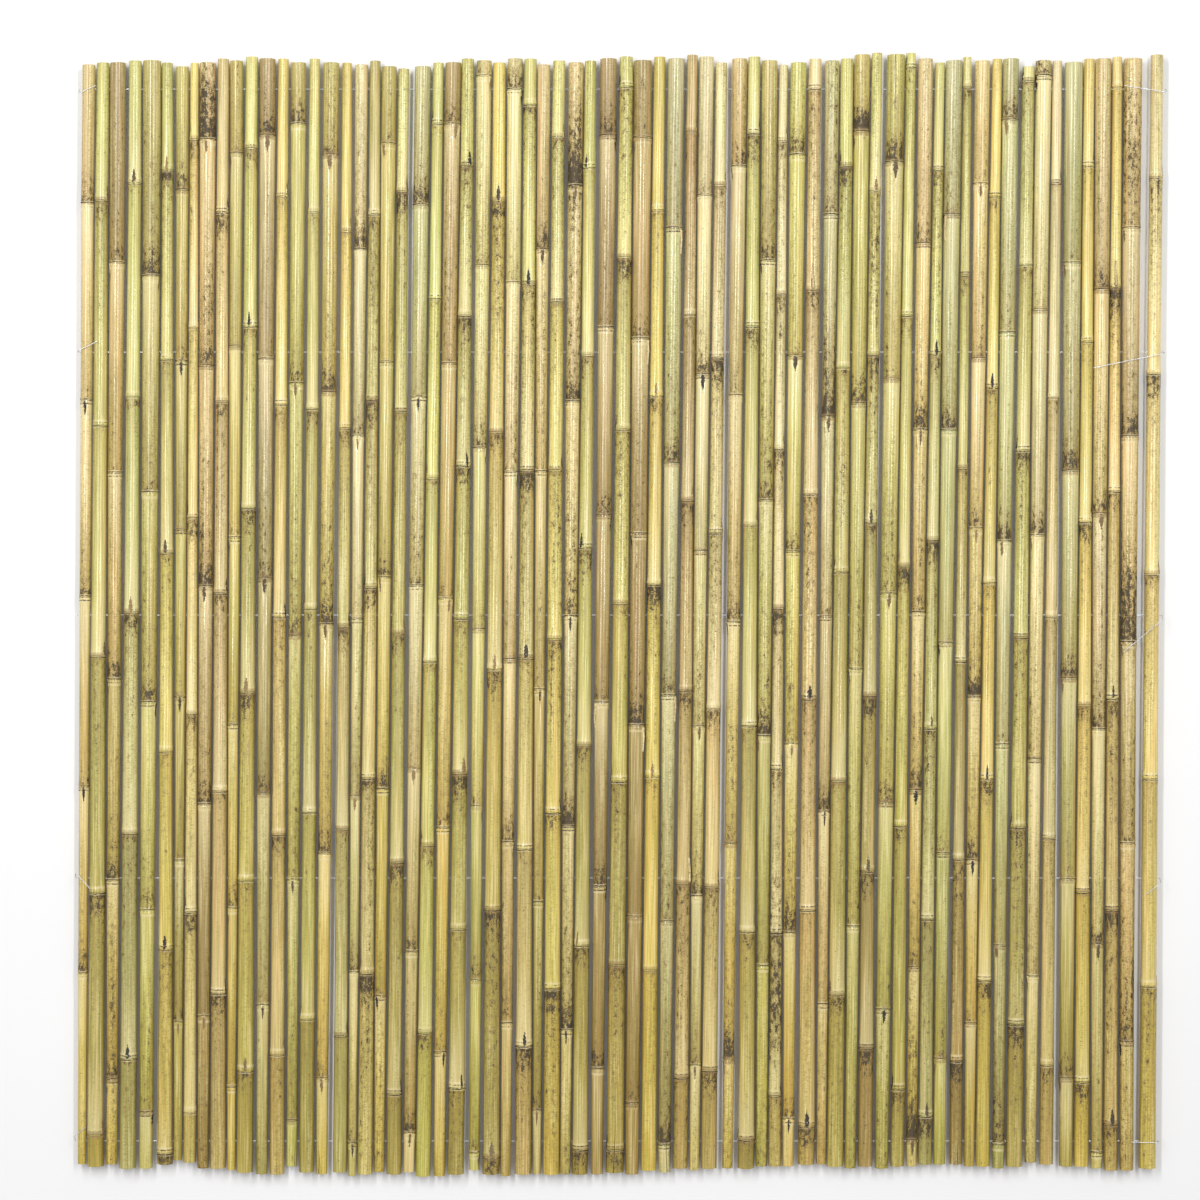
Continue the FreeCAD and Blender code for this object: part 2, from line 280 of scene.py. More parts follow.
class Cane:
    """One cane as the frame has it: its line, its thickness and its joints."""

    def __init__(self, number, node, points):
        self.number = number
        self.node = node
        rings = read_rings(points)
        self.foot = rings[0][0]
        self.head = rings[-1][0]
        lands = [index for index in range(1, len(rings) - 2)
                 if abs(rings[index + 1][0] - rings[index][0] - RING_LAND) < SAME_HEIGHT
                 and rings[index][3] > rings[index - 1][3] + JOINT_STEP]
        joints = [(rings[index][0] + rings[index + 1][0]) / 2 for index in lands]
        self.joints = np.array(sorted(joints, reverse=True))
        first = lands[0]
        below = rings[first][0] - rings[first - 1][0]
        above = rings[first + 2][0] - rings[first + 1][0]
        self.tip = 1 if above > below else -1
        self.line = rings
        swollen = set(lands) | {index + 1 for index in lands}
        self.plain = np.array([ring for index, ring in enumerate(rings) if index not in swollen])
        turn = math.radians(BUD_ANGLES[BUD_SIDES[number - 1]])
        wobble = chance_for(number, 1)
        self.bud_turns = np.array([turn + math.pi * count + 0.25 * (wobble.random() - 0.5)
                                   for count in range(len(joints))])

    def centre(self, y):
        """x and z of the cane's middle at height y."""
        return [np.interp(y, self.line[:, 0], self.line[:, column]) for column in (1, 2)]

    def radius(self, y):
        return np.interp(y, self.plain[:, 0], self.plain[:, 3])

    def share_down(self, y):
        """How far down the cane a height is, from 0 at the head to 1 at the foot."""
        return (self.head - y) / (self.head - self.foot)

    def joint_behind(self, y):
        """Number of the joint on the butt side of each height, -1 before the first."""
        if self.tip > 0:
            behind = self.joints[:, None] <= y[None, :]
            return np.where(behind.any(axis=0), behind.argmax(axis=0), -1)
        behind = self.joints[:, None] >= y[None, :]
        return behind.sum(axis=0) - 1

    def past_joint(self, y):
        """Metres from the joint behind, towards the tip."""
        number = self.joint_behind(y)
        start = self.head if self.tip < 0 else self.foot
        origin = np.where(number >= 0, self.joints[number], start - self.tip * LOST_BUTT_JOINT)
        return (y - origin) * self.tip

    def next_joint(self, y):
        """Metres to the joint ahead, towards the tip."""
        number = self.joint_behind(y)
        count = len(self.joints)
        if self.tip > 0:
            ahead = np.where(number < 0, count, number) - 1
        else:
            ahead = number + 1
        missing = (ahead < 0) | (ahead >= count)
        end = (self.foot if self.tip < 0 else self.head) + self.tip * LOST_TIP_JOINT
        goal = np.where(missing, end, self.joints[np.clip(ahead, 0, count - 1)])
        return (goal - y) * self.tip

    def from_bud(self, y, turn):
        """Angle round the cane from the bud of the joint behind."""
        apart = turn - self.bud_turns[np.maximum(self.joint_behind(y), 0)]
        return (apart + math.pi) % (2 * math.pi) - math.pi


def read_canes():
    canes = []
    for first in range(1, CANES + 1, 2):
        node = "canes_%02d_%02d" % (first, first + 1)
        for side, points in enumerate(separate_solids(node)):
            canes.append(Cane(first + side, node, points))
    return canes


# Masters, each modelled once round the Y axis with a radius of one.


def deselect_all():
    for item in bpy.context.selected_objects:
        item.select_set(False)
    bpy.context.view_layer.objects.active = None


def activate(piece):
    """Makes the piece the active one and the only one selected."""
    deselect_all()
    piece.select_set(True)
    bpy.context.view_layer.objects.active = piece


def edit_all():
    """Opens the active piece in edit mode with all of it selected."""
    bpy.ops.object.mode_set(mode="EDIT")
    bpy.ops.mesh.select_mode(type="VERT")
    bpy.ops.mesh.select_all(action="SELECT")


def leave_edit():
    bpy.ops.object.mode_set(mode="OBJECT")


def start_ring(name, along, sides=AROUND, radius=1.0):
    """A ring of edges round Y, left in edit mode with all of it selected."""
    deselect_all()
    bpy.ops.mesh.primitive_circle_add(
        vertices=sides, radius=radius, location=(0, along, 0), rotation=(math.pi / 2, 0, 0))
    piece = bpy.context.object
    piece.name = name
    bpy.ops.object.transform_apply(location=True, rotation=True, scale=True)
    edit_all()
    return piece


def pull_ring(along, step, growth):
    """Extrudes the selected ring along Y and resizes the new one."""
    bpy.ops.mesh.extrude_region_move(TRANSFORM_OT_translate={"value": (0, step, 0)})
    if growth != 1.0:
        bpy.ops.transform.resize(
            value=(growth, 1.0, growth), center_override=(0, along + step, 0))


def pull_profile(profile):
    for (along, width), (next_along, next_width) in zip(profile, profile[1:]):
        pull_ring(along, next_along - along, next_width / width)


def select_faces(piece, chosen):
    """Selects the faces whose centre passes the test, from edit mode."""
    leave_edit()
    for item in list(piece.data.edges) + list(piece.data.vertices):
        item.select = False
    for polygon in piece.data.polygons:
        polygon.select = chosen(polygon.center)
    bpy.ops.object.mode_set(mode="EDIT")
    bpy.ops.mesh.select_mode(type="FACE")


def move_points(piece, places):
    piece.data.vertices.foreach_set("co", places.reshape(-1))
    piece.data.update()


def round_y(points):
    """How far points stand from the Y axis, and their angle round it from the front."""
    return np.hypot(points[:, 0], points[:, 2]), np.arctan2(points[:, 0], points[:, 2])


def make_internode():
    piece = start_ring("internode_master", 0.0)
    pull_profile([(0.0, 1.0), (0.22, 1.0), (0.5, 1.0), (0.78, 1.0), (1.0, 1.0)])
    leave_edit()
    return piece


def make_joint(kind):
    """Joint with its scar ring and ridge, and a bud or a twig scar at the front."""
    profile = [(along / 1000, 1 + height / 1000 / HEIGHT_UNIT) for along, height in JOINT_PROFILE]
    piece = start_ring("joint_%s_master" % kind, profile[0][0])
    pull_profile(profile)
    bud_reach = 0.0195
    bud_half_turn = 0.5
    half_width = 0.27
    half_length = 0.0085
    select_faces(piece, lambda spot: 0.0005 < spot.y < bud_reach
                 and abs(math.atan2(spot.x, spot.z)) < bud_half_turn)
    bpy.ops.mesh.subdivide(number_cuts=2)
    leave_edit()
    points = mesh_points(piece.data)
    width, turn = round_y(points)
    along = points[:, 1]
    middle = 0.0105 if kind == "bud" else 0.009
    across = turn / half_width
    lengthways = (along - middle) / half_length
    almond = np.clip(1 - across ** 2 * (1 + 0.6 * lengthways) - lengthways ** 2, 0, 1)
    hollow = np.exp(-(across / 1.7) ** 2 - (lengthways / 1.4) ** 2)
    if kind == "bud":
        height = 0.0013 * np.sqrt(almond) - 0.0008 * hollow
    else:
        ring = np.exp(-((np.sqrt(across ** 2 + lengthways ** 2) - 0.85) / 0.22) ** 2)
        height = 0.0014 * ring - 0.0006 * hollow
    near = (np.abs(turn) < bud_half_turn + 0.05) & (along > 0) & (along < bud_reach + 0.004)
    grown = width + np.where(near, height, 0) / HEIGHT_UNIT
    points[:, 0] = grown * np.sin(turn)
    points[:, 2] = grown * np.cos(turn)
    move_points(piece, points)
    return piece


def make_sawn_end(skin, cut, bore):
    """Sawn end: outer skin to the saw cut, the cut ring, the bore and its diaphragm.

    The outer skin runs from 0 to 1 along Y, the bore from 1 back to 0.
    """
    piece = start_ring("sawn_end_master", 0.0)
    pull_profile([(0.0, 1.0), (0.72, 1.0), (0.93, 0.993), (1.0, 0.975)])
    pull_profile([(1.0, 0.975), (1.0, 0.84), (1.0, 0.7), (0.97, 0.68)])
    pull_profile([(0.97, 0.68), (0.5, 0.68), (0.05, 0.68), (0.0, 0.6), (0.0, 0.3)])
    bpy.ops.mesh.edge_face_add()
    bpy.ops.mesh.poke()
    leave_edit()
    for material in (skin, cut, bore):
        piece.data.materials.append(material)
    for polygon in piece.data.polygons:
        spot = polygon.center
        width = math.hypot(spot.x, spot.z)
        if spot.y > 0.965 and width < 0.99:
            polygon.material_index = 1
        elif width < 0.69:
            polygon.material_index = 2
    return piece


def make_twig_stub(bark, cut):
    """Stub of a cut twig, growing towards +Y and a little outwards."""
    piece = start_ring("twig_stub_master", 0.0, sides=10, radius=0.0019)
    pull_profile([(0.0, 1.0), (0.003, 1.35), (0.0042, 1.0), (0.015, 0.84), (0.0162, 1.12),
                  (0.0178, 0.84), (0.031, 0.72), (0.0395, 0.66), (0.0402, 0.58)])
    bpy.ops.mesh.edge_face_add()
    bpy.ops.mesh.inset(thickness=0.0003)
    leave_edit()
    piece.data.materials.append(bark)
    piece.data.materials.append(cut)
    cut_from = 0.0398
    for polygon in piece.data.polygons:
        if polygon.center.y > cut_from:
            polygon.material_index = 1
    points = mesh_points(piece.data)
    along = points[:, 1]
    points[:, 2] += 0.0011 * np.sin(along / 0.011) + 0.4 * along ** 2
    points[:, 0] += 0.0007 * np.sin(along / 0.008 + 1.0)
    move_points(piece, points)
    return piece


def make_split_cutter(inner):
    """Thin slab one unit wide, long and deep that is laid into a cane to split it."""
    deselect_all()
    bpy.ops.mesh.primitive_grid_add(
        x_subdivisions=1, y_subdivisions=12, size=1.0, location=(0, 0.5, 0))
    piece = bpy.context.object
    piece.name = "split_cutter_master"
    bpy.ops.object.transform_apply(location=True, rotation=True, scale=True)
    edit_all()
    bpy.ops.mesh.extrude_region_move(TRANSFORM_OT_translate={"value": (0, 0, 1)})
    leave_edit()
    piece.data.materials.append(inner)
    return piece


# Putting a cane together from copies of the masters.


def copy_of(master, name):
    piece = master.copy()
    piece.data = master.data.copy()
    piece.name = name
    bpy.context.scene.collection.objects.link(piece)
    return piece


def skin_height(cane, y, turn):
    """Small departures of the skin from round: bud groove, waist, ovalness."""
    past = cane.past_joint(y)
    ahead = cane.next_joint(y)
    groove = np.exp(-(cane.from_bud(y, turn) / GROOVE_HALF_ANGLE) ** 2)
    fade = np.clip(1 - past / GROOVE_LENGTH, 0, 1) * np.clip(past / GROOVE_RISE, 0, 1)
    fade = fade * np.clip(ahead / GROOVE_STOP, 0, 1)
    free = np.clip(past / WAIST_RISE, 0, 1) * np.clip(ahead / WAIST_RISE, 0, 1)
    lean = chance_for(cane.number, 2).random() * math.pi
    oval = OVALNESS * np.cos(2 * (turn - lean))
    return oval - GROOVE_DEPTH * groove * fade - WAIST * free


def lay_on_cane(cane, piece, y, turn, height):
    """Moves a master's points onto the cane at height y and angle turn."""
    x, z = cane.centre(y)
    radius = cane.radius(y) + height
    level = np.maximum(z + radius * np.cos(turn), CAD_BOX[0][2])
    move_points(piece, np.column_stack([x + radius * np.sin(turn), y, level]))


def add_internode(cane, master, start, end):
    piece = copy_of(master, "internode")
    points = mesh_points(piece.data)
    turn = round_y(points)[1]
    y = start + (end - start) * points[:, 1]
    lay_on_cane(cane, piece, y, turn, skin_height(cane, y, turn))
    return piece


def add_joint(cane, master, number, butt_room, tip_room):
    """Lays a joint on the cane, its outer parts squeezed into the room there is."""
    piece = copy_of(master, "joint")
    points = mesh_points(piece.data)
    width, local = round_y(points)
    along = points[:, 1]
    core = JOINT_CORE
    squeezed_tip = core + (along - core) * (tip_room - core) / (TIP_REACH - core)
    squeezed_butt = -core + (along + core) * (butt_room - core) / (BUTT_REACH - core)
    along = np.where(along > core, squeezed_tip, np.where(along < -core, squeezed_butt, along))
    step = 2 * math.pi / AROUND
    roll = round(cane.bud_turns[number] / step) * step
    turn = local * cane.tip + roll
    chance = chance_for(cane.number * 10 + number, 3)
    tilt = chance.random() * 2 * math.pi
    wave = -SCAR_DIP * np.exp(-(local / SCAR_DIP_TURN) ** 2) + SCAR_TILT * np.cos(local - tilt)
    wave = wave * np.exp(-(along / SCAR_DIP_REACH) ** 2)
    y = cane.joints[number] + cane.tip * (along + wave)
    strength = 0.75 + 0.5 * chance.random()
    height = (width - 1) * HEIGHT_UNIT * strength
    flat_y = cane.joints[number] + cane.tip * along
    lay_on_cane(cane, piece, y, turn, height + skin_height(cane, flat_y, turn))
    return piece


def add_sawn_end(cane, master, end, joint):
    """Sawn end at the head or the foot, its bore reaching to the first diaphragm."""
    piece = copy_of(master, "sawn_end")
    points = mesh_points(piece.data)
    outward = 1 if end > joint else -1
    start = end - outward * END_LENGTH
    bottom = joint + outward * DIAPHRAGM / 2
    width, turn = round_y(points)
    inside = width < 0.8
    y = np.where(inside, bottom + (end - bottom) * points[:, 1],
                 start + (end - start) * points[:, 1])
    chance = chance_for(cane.number, 4 if outward > 0 else 5)
    ragged = np.array([chance.random() for _ in range(AROUND)])
    spot = np.round(turn / (2 * math.pi) * AROUND).astype(int) % AROUND
    saw_cut = points[:, 1] > 0.9
    y = y - outward * np.where(saw_cut, 0.0005 * ragged[spot] ** 2, 0)
    radius = cane.radius(y)
    wall = BORE_WALL * np.clip(radius / 0.011, 0.7, 1.15)
    share = np.clip((width - 0.7) / 0.3, 0, 1)
    height = np.where(width >= 0.7, -(1 - share) * wall, -wall - (0.7 - width) * radius / 0.7)
    centre = width < 0.05
    height = np.where(centre, -radius, height)
    height = np.where(width >= 0.99, skin_height(cane, y, turn), height)
    lay_on_cane(cane, piece, y, turn, height)
    return piece


def join_pieces(pieces, name):
    deselect_all()
    for piece in pieces:
        piece.select_set(True)
    bpy.context.view_layer.objects.active = pieces[0]
    bpy.ops.object.join()
    whole = bpy.context.object
    whole.name = name
    whole.data.name = name
    return whole


def weld(piece):
    """Closes the seams between the copies and turns all faces outwards."""
    activate(piece)
    edit_all()
    bpy.ops.mesh.remove_doubles(threshold=SEAM_GAP)
    bpy.ops.mesh.normals_make_consistent(inside=False)
    leave_edit()


def wire_lines():
    """Height y and z of each wire's straight run, from the frame."""
    lines = []
    for node in sorted(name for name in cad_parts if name.startswith("wire_")):
        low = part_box(node)[0]
        points = mesh_points(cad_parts[node].data)
        lowest = np.argsort(np.abs(points[:, 2] - low[2]))[:40]
        lines.append((points[lowest, 1].mean(), low[2] + WIRE_RADIUS))
    return lines


def make_drills(lines, cut):
    """Cutters for the wire holes of one cane, moved from cane to cane."""
    drills = []
    for y, z in lines:
        deselect_all()
        bpy.ops.mesh.primitive_cylinder_add(
            vertices=12, radius=HOLE_RADIUS, depth=DRILL_LENGTH,
            location=(0, y, z), rotation=(0, math.pi / 2, 0))
        drill = bpy.context.object
        bpy.ops.object.transform_apply(location=True, rotation=True, scale=True)
        drill.data.materials.append(cut)
        drills.append(drill)
    return join_pieces(drills, "wire_hole_drills")


def drill_cane(piece, cane, drills, lines):
    rest = mesh_points(drills.data)
    moved = rest.copy()
    for y, _ in lines:
        row = np.abs(rest[:, 1] - y) < ROW_REACH
        moved[row, 0] += float(cane.centre(y)[0])
    move_points(drills, moved)
    cut_away(piece, drills)
    move_points(drills, rest)


def cut_away(piece, cutter):
    modifier = piece.modifiers.new("cut", "BOOLEAN")
    modifier.operation = "DIFFERENCE"
    modifier.solver = "MANIFOLD"
    modifier.material_mode = "TRANSFER"
    modifier.object = cutter
    activate(piece)
    bpy.ops.object.modifier_apply(modifier=modifier.name)


def split_cane(piece, cane, master, end, length, degrees):
    """Opens a split that starts wide at the sawn end and wanders shut along the grain."""
    cutter = copy_of(master, "split_cutter")
    points = mesh_points(cutter.data)
    share = points[:, 1]
    outward = 1 if end == "head" else -1
    overrun = 0.002
    wander = 0.0007
    start = (cane.head if end == "head" else cane.foot) + outward * overrun
    y = start - outward * (length + overrun) * share
    width = SPLIT_WIDTH * (0.08 + 0.92 * (1 - share) ** 0.6)
    sideways = points[:, 0] * width + wander * np.sin(share * 7 + cane.number)
    turn = math.radians(degrees) + sideways / cane.radius(y)
    height = np.where(points[:, 2] > 0.5, overrun, -SPLIT_DEPTH * (1 - 0.6 * share))
    lay_on_cane(cane, cutter, y, turn, height)
    activate(cutter)
    edit_all()
    bpy.ops.mesh.normals_make_consistent(inside=False)
    leave_edit()
    cut_away(piece, cutter)
    bpy.data.objects.remove(cutter)


def tone_colour(cane, y):
    """Skin tone of a stretch of cane, shading from its head tone to its foot tone."""
    head, foot = [np.array(srgb(*TONES[tones[cane.number - 1]])[:3])
                  for tones in (HEAD_TONES, FOOT_TONES)]
    share = cane.share_down(y)[:, None]
    return (head * (1 - share) + foot * share) * (1 - share ** 2 * np.array(FOOT_LOSS))


def store_on_points(piece, name, kind, field, values):
    layer = piece.data.attributes.new(name, kind, "POINT")
    layer.data.foreach_set(field, values.astype(np.float32).reshape(-1))


def paint_cane(piece, cane):
    """Stores on every point what the bamboo's materials read there.

    grain: place in the fibres' pattern. joints: metres from the joint behind and
    to the one ahead, cosine of the turn from the bud. stain_and_flank_shade: stain,
    shade (a chance of the stretch), and the flank, which sets the painted shade that
    darkens the cane's left and right sides. look: how dark, brown and dirty the
    nearest joint is. skin_tone: bare colour.
    """
    points = mesh_points(piece.data)
    y = points[:, 1]
    x, z = cane.centre(y)
    turn = np.arctan2(points[:, 0] - x, points[:, 2] - z)
    from_bud = cane.from_bud(y, turn)
    dip = SCAR_DIP * np.exp(-(from_bud / SCAR_DIP_TURN) ** 2)
    past = cane.past_joint(y)
    grain = np.column_stack([points[:, 0] - x, y + GRAIN_STEP * cane.number, points[:, 2] - z])
    dipped = past + dip * np.exp(-(past / SCAR_DIP_REACH) ** 2)
    joints = np.column_stack([dipped, cane.next_joint(y), np.cos(from_bud)])
    chance = chance_for(cane.number, 6)
    stretches = np.array([[chance.random() for _ in range(4)] for _ in range(len(cane.joints) + 1)])
    mine = stretches[cane.joint_behind(y)]
    value = 0.90 + 0.20 * mine[:, 0]
    red = 1 + 0.06 * (mine[:, 1] - 0.5)
    blue = 1 + 0.16 * (mine[:, 2] - 0.5)
    tint = np.column_stack([red, np.ones(len(y)), blue])
    skin = np.clip(tone_colour(cane, y) * value[:, None] * tint, 0, 1)
    share = cane.share_down(y)
    stain = STAIN_LEAST + STAIN_STEP * int(STAINS[cane.number - 1])
    stain = stain + STAIN_CHANCE * (mine[:, 3] - 0.5) + STAIN_FOOT * share
    for which, low, high, strength in DARK_STRETCHES:
        if which == cane.number:
            edge = np.minimum(y - low, high - y) / STRETCH_FADE + 0.5
            stain = stain + strength * np.clip(edge, 0, 1)
    # Painted shade: how far round to its left or right side a point lies, where the skin is darkened
    # as if shaded towards the next canes; it starts further round at the head.
    shaded_flank = np.abs(np.sin(turn)) - FLANK_SHADE_HEAD_OFFSET * (1 - share)
    stain_and_flank_shade = np.column_stack([stain, mine[:, 2], shaded_flank])
    looks = np.array([[chance.random() for _ in range(3)] for _ in cane.joints])
    nearest = np.abs(cane.joints[:, None] - y[None, :]).argmin(axis=0)
    colours = np.column_stack([skin, np.ones(len(y))])
    vectors = {"grain": grain, "joints": joints, "stain_and_flank_shade": stain_and_flank_shade, "look": looks[nearest]}
    for name, values in vectors.items():
        store_on_points(piece, name, "FLOAT_VECTOR", "vector", values)
    store_on_points(piece, "skin_tone", "FLOAT_COLOR", "color", colours)


def add_twig_stub(cane, master, number):
    """A twig stub that grows from the bud's place and lies along the cane."""
    piece = copy_of(master, "twig_stub")
    points = mesh_points(piece.data)
    turn = (cane.bud_turns[number] + math.pi) % (2 * math.pi) - math.pi
    turn = max(-STUB_TURN, min(STUB_TURN, turn))
    foot = cane.joints[number] + cane.tip * STUB_PAST_JOINT
    x, z = cane.centre(foot)
    stand = float(cane.radius(foot)) + STUB_STAND
    outward = np.array([math.sin(turn), 0, math.cos(turn)])
    sideways = np.array([math.cos(turn), 0, -math.sin(turn)])
    places = (np.array([float(x), foot, float(z)]) + np.outer(stand + points[:, 2], outward)
              + np.outer(points[:, 0], sideways)
              + np.outer(points[:, 1], [0, cane.tip, 0]))
    move_points(piece, places)
    if cane.tip < 0:
        activate(piece)
        edit_all()
        bpy.ops.mesh.flip_normals()
        leave_edit()
    return piece


def build_cane(cane, masters, drills, lines):
    """Head to foot: sawn end, then internodes and joints by turns, sawn end."""
    pieces = [add_sawn_end(cane, masters["sawn_end"], cane.head, cane.joints[0])]
    above, below = (TIP_REACH, BUTT_REACH) if cane.tip > 0 else (BUTT_REACH, TIP_REACH)
    level = cane.head - END_LENGTH
    last = cane.foot + END_LENGTH
    for number, joint in enumerate(cane.joints):
        lower = cane.joints[number + 1:]
        room_above = min(above, level - joint)
        room_below = min(below, (joint - lower[0]) / 2 if len(lower) else joint - last)
        if level - joint - room_above > SEAM_GAP:
            pieces.append(add_internode(cane, masters["internode"], level, joint + room_above))
        tip_room, butt_room = (room_above, room_below) if cane.tip > 0 else (room_below, room_above)
        kind = "twig_scar" if (cane.number, number + 1) in TWIG_STUBS else "bud"
        pieces.append(add_joint(cane, masters[kind], number, butt_room, tip_room))
        level = joint - room_below
    if level - last > SEAM_GAP:
        pieces.append(add_internode(cane, masters["internode"], level, last))
    pieces.append(add_sawn_end(cane, masters["sawn_end"], cane.foot, cane.joints[-1]))
    whole = join_pieces(pieces, "cane_%02d" % cane.number)
    weld(whole)
    drill_cane(whole, cane, drills, lines)
    for which, end, length, degrees in SPLITS:
        if which == cane.number:
            split_cane(whole, cane, masters["split_cutter"], end, length, degrees)
    stubs = [add_twig_stub(cane, masters["twig_stub"], number - 1)
             for which, number in TWIG_STUBS if which == cane.number]
    if stubs:
        whole = join_pieces([whole] + stubs, whole.name)
    paint_cane(whole, cane)
    activate(whole)
    bpy.ops.object.shade_smooth_by_angle(angle=math.radians(SMOOTH_DEGREES))
    return whole


# Node helpers for the materials.


def feed(tree, socket, value):
    """Links a socket to the value, or sets it where the value is a number or colour."""
    if isinstance(value, bpy.types.NodeSocket):
        tree.links.new(value, socket)
    else:
        socket.default_value = value


def feed_all(tree, node, inputs):
    for name, value in inputs.items():
        feed(tree, node.inputs[name], value)


def add_node(tree, kind, settings=None, **inputs):
    node = tree.nodes.new(kind)
    for name, value in (settings or {}).items():
        setattr(node, name, value)
    feed_all(tree, node, inputs)
    return node


def maths(tree, operation, first, second=None, clamp=False):
    node = add_node(tree, "ShaderNodeMath", {"operation": operation, "use_clamp": clamp})
    feed(tree, node.inputs[0], first)
    if second is not None:
        feed(tree, node.inputs[1], second)
    return node.outputs[0]


def plus(tree, first, second):
    return maths(tree, "ADD", first, second)


def minus(tree, first, second):
    return maths(tree, "SUBTRACT", first, second)


def times(tree, first, second):
    return maths(tree, "MULTIPLY", first, second)


def larger(tree, first, second):
    return maths(tree, "MAXIMUM", first, second)


def ramp(tree, value, low, high, start=0.0, end=1.0):
    """Smooth step from start at low to end at high."""
    node = add_node(tree, "ShaderNodeMapRange", {"interpolation_type": "SMOOTHSTEP"})
    feed_all(tree, node, {
        "Value": value, "From Min": low, "From Max": high, "To Min": start, "To Max": end})
    return node.outputs[0]


def blend(tree, factor, first, second, kind="MIX"):
    node = add_node(tree, "ShaderNodeMix", {"data_type": "RGBA", "blend_type": kind})
    feed(tree, node.inputs[0], factor)
    feed(tree, node.inputs[6], first)
    feed(tree, node.inputs[7], second)
    return node.outputs[2]


def noise(tree, vector, scale, detail, roughness):
    """Noise with its own scale along each of the three axes."""
    scaled = add_node(tree, "ShaderNodeVectorMath", {"operation": "MULTIPLY"})
    feed(tree, scaled.inputs[0], vector)
    feed(tree, scaled.inputs[1], scale)
    node = add_node(tree, "ShaderNodeTexNoise", Vector=scaled.outputs[0], Scale=1.0,
                    Detail=detail, Roughness=roughness)
    return node.outputs["Fac"]


def attribute(tree, name, output="Vector"):
    return add_node(tree, "ShaderNodeAttribute", {"attribute_name": name}).outputs[output]


def split(tree, vector):
    return add_node(tree, "ShaderNodeSeparateXYZ", Vector=vector).outputs


def new_group(name, vectors, values, outputs):
    """Node group that puts out single values: its tree, what comes in and its exit node."""
    tree = bpy.data.node_groups.new(name, "ShaderNodeTree")
    for labels, way, kind in ((vectors, "INPUT", "Vector"), (values, "INPUT", "Float"),
                              (outputs, "OUTPUT", "Float")):
        for label in labels:
            tree.interface.new_socket(label, in_out=way, socket_type="NodeSocket" + kind)
    entry = tree.nodes.new("NodeGroupInput")
    return tree, entry.outputs, tree.nodes.new("NodeGroupOutput")


def use_group(tree, group, **inputs):
    return add_node(tree, "ShaderNodeGroup", {"node_tree": group}, **inputs).outputs


def new_material(name):
    material = bpy.data.materials.new(name)
    material.use_nodes = True
    tree = material.node_tree
    return material, tree, tree.nodes["Principled BSDF"]


def fibrous_material(name, fibres):
    """New material with the fibres' pattern laid along the cane."""
    material, tree, shader = new_material(name)
    grain = attribute(tree, "grain")
    return material, tree, shader, grain, use_group(tree, fibres, Grain=grain)


def finish_surface(tree, shader, colour, roughness, height, strength, depth):
    """Gives the shader its colour and roughness, and a fine relief from height."""
    bump = add_node(tree, "ShaderNodeBump", Strength=strength, Distance=depth, Height=height)
    feed_all(tree, shader, {"Base Color": colour, "Roughness": roughness, "Normal": bump.outputs[0]})


def fibre_group():
    """Lengthwise fibres of bamboo: broad bands, wide and thin streaks, crosswise crazing."""
    tree, entry, leave = new_group(
        "Bamboo fibres", ["Grain"], [], ["Bands", "Streaks", "Threads", "Crazing"])
    grain = entry["Grain"]
    feed_all(tree, leave, {
        "Bands": noise(tree, grain, (170, 3.0, 170), 1.0, 0.55),
        "Streaks": noise(tree, grain, (520, 8, 520), 2.0, 0.62),
        "Threads": noise(tree, grain, (1500, 16, 1500), 1.0, 0.6),
        "Crazing": noise(tree, grain, (190, 460, 190), 1.0, 0.60),
    })
    return tree


def stain_group():
    """Mould and weather: dark blotches that grow with Amount, a brown veil round them, specks."""
    tree, entry, leave = new_group(
        "Mould stains", ["Grain"], ["Amount"], ["Blotches", "Veil", "Specks"])
    grain = entry["Grain"]
    amount = entry["Amount"]
    cloud = noise(tree, grain, (170, 85, 170), 3.0, 0.75)
    ticks = noise(tree, grain, (430, 820, 430), 1.0, 0.6)
    field = plus(tree, times(tree, cloud, 0.68), times(tree, ticks, 0.32))
    edge = minus(tree, 0.675, times(tree, amount, 0.075))
    soft = minus(tree, edge, 0.12)
    dots = noise(tree, grain, (520, 330, 520), 1.0, 0.6)
    rim = minus(tree, 0.735, times(tree, amount, 0.045))
    feed_all(tree, leave, {
        "Blotches": ramp(tree, field, edge, plus(tree, edge, 0.09)),
        "Veil": ramp(tree, field, soft, plus(tree, soft, 0.19)),
        "Specks": ramp(tree, dots, rim, plus(tree, rim, 0.045)),
    })
    return tree


